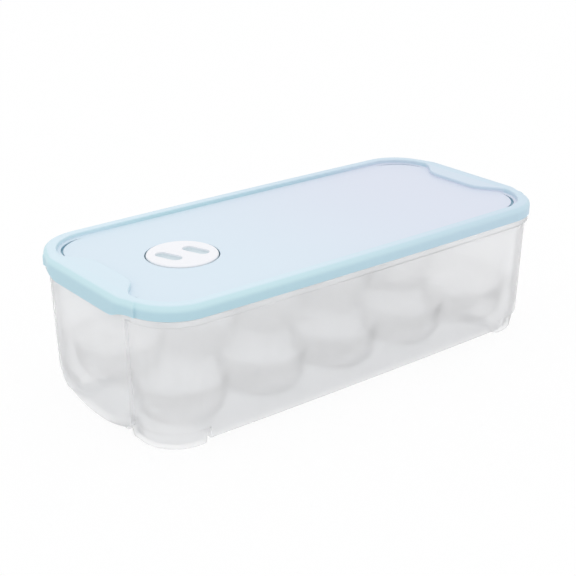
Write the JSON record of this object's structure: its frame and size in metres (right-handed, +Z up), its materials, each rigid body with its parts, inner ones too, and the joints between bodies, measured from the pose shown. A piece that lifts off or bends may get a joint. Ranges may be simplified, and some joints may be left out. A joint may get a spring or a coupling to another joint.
{
  "type": "egg storage box",
  "caption": "Long see-through box on corner feet with an egg-cup tray inside, a coloured lid with finger tabs and a round dial in its top.",
  "frame": {"origin": "on the table, under the middle of the box", "axes": "+Z up; +X along the long side, away from the end with the dial; +Y across"},
  "size_m": [0.2646, 0.1234, 0.0757],
  "materials": {
    "tub_plastic": "frosted, see-through",
    "tray_plastic": "frosted, see-through",
    "lid_plastic": "satin",
    "dial_plastic": "satin"
  },
  "bodies": {
    "tub_body": {"box_tub": "tub_plastic"},
    "tray_body": {"egg_tray": "tray_plastic"},
    "lid_body": {"lid": "lid_plastic"},
    "dial_body": {"dial": "dial_plastic"}
  },
  "joints": [
    {"name": "lid_lift", "type": "slide", "parent": "tub_body", "child": "lid_body", "axis": [0, 0, 1], "range_m": [0, 0.15]},
    {"name": "tray_lift", "type": "slide", "parent": "tub_body", "child": "tray_body", "axis": [0, 0, 1], "range_m": [0, 0.075]},
    {"name": "dial_turn", "type": "hinge", "parent": "lid_body", "child": "dial_body", "pos_m": [-0.07466, 0, 0.0695], "axis": [0, 0, 1], "continuous": true}
  ],
  "couplings": [
    {"joint": "tray_lift", "follows": "lid_lift", "ratio": 0.5}
  ]
}
